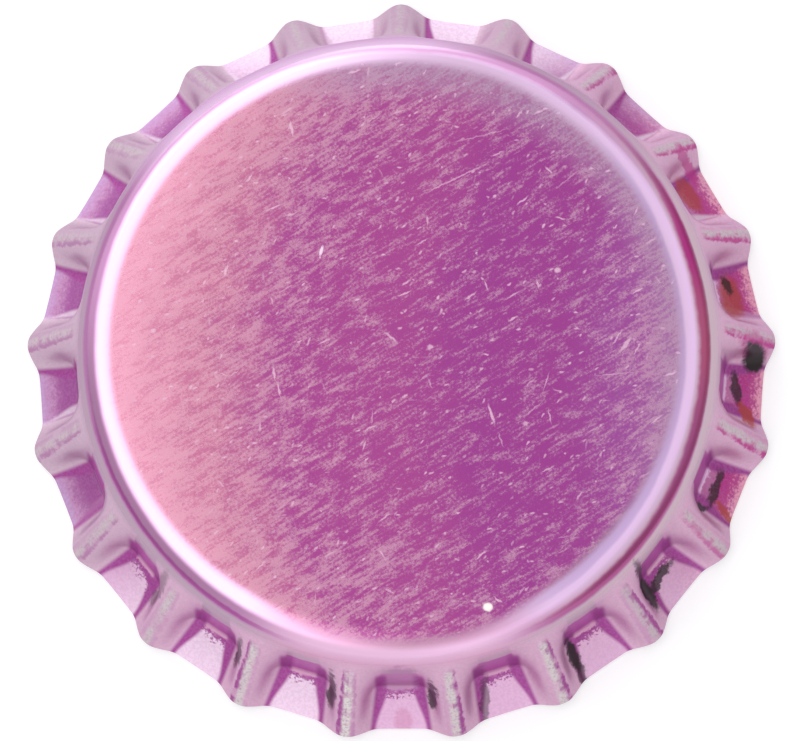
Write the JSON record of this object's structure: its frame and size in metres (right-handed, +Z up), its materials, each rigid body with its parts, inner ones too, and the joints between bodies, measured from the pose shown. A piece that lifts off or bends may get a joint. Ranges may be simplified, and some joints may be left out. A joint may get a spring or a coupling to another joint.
{
  "type": "bottle cap",
  "caption": "Uncrimped crown bottle cap of pink-lacquered tinplate, with a flat panel, rounded shoulder, fluted flared skirt and a moulded sealing liner; stands on its rim.",
  "frame": {"origin": "centre of the plane that the rim stands on", "axes": "+Z up through the flat panel along the cap's axis; one flute points along +Y"},
  "size_m": [0.032, 0.0319, 0.006],
  "materials": {
    "lacquered_tinplate": "transparent pink to magenta lacquer over bright tinplate, finely scratched on the panel and rubbed along the flutes",
    "sealing_compound": "soft moulded polymer, satin"
  },
  "bodies": {
    "root": {"shell": "lacquered_tinplate", "liner": "sealing_compound"}
  },
  "joints": []
}
